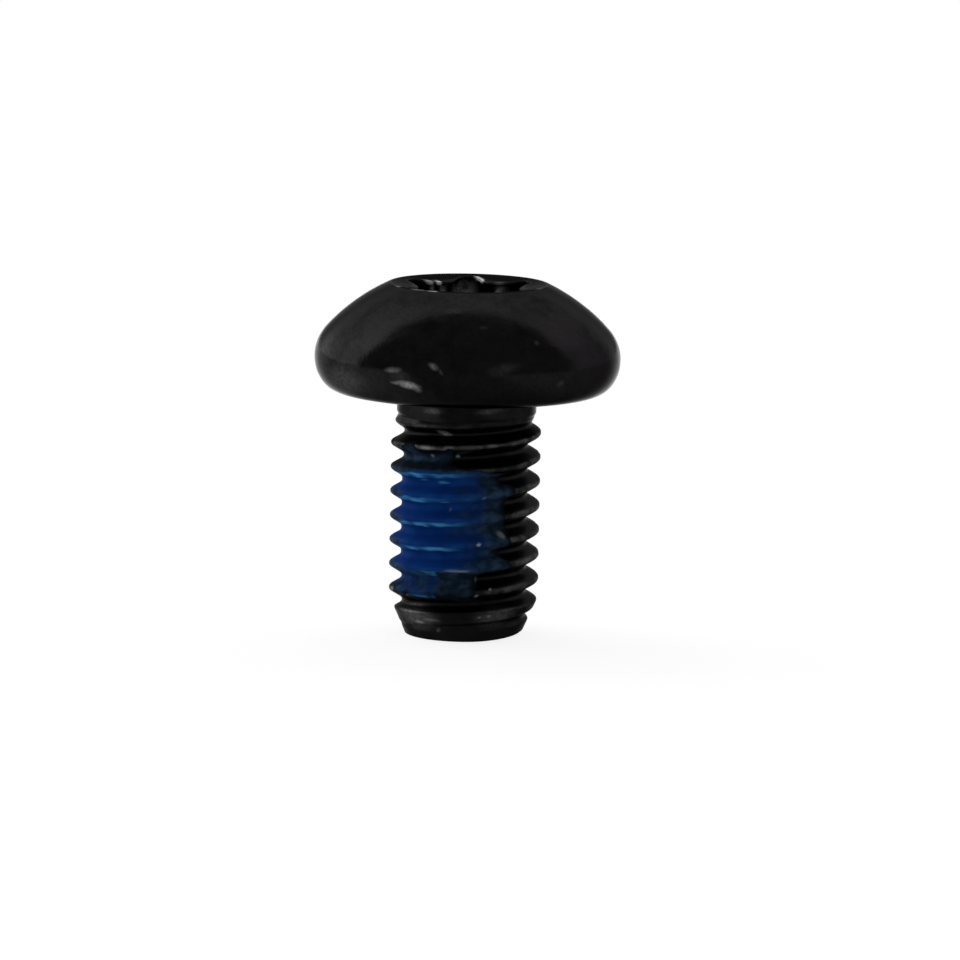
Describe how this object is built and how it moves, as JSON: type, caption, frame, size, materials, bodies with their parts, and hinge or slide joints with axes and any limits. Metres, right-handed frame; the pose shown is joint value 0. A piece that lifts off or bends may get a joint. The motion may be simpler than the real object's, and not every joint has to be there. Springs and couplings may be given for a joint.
{
  "type": "hexalobular button head screw",
  "caption": "Black domed button head screw with a hexalobular socket, a right-hand machine thread, a flat tip and a dried blue thread-lock film on part of the thread.",
  "frame": {"origin": "centre of the head's flat bearing face, on the screw's axis", "axes": "+Z along the screw's axis towards the head, -Z towards the tip, -Y towards the viewer with one socket lobe, +X to the viewer's right"},
  "size_m": [0.01, 0.01, 0.0116],
  "materials": {
    "black_steel": "satin",
    "blue_film": "satin"
  },
  "bodies": {
    "root": {"screw": "black_steel", "thread_lock_patch": "blue_film"}
  },
  "joints": []
}
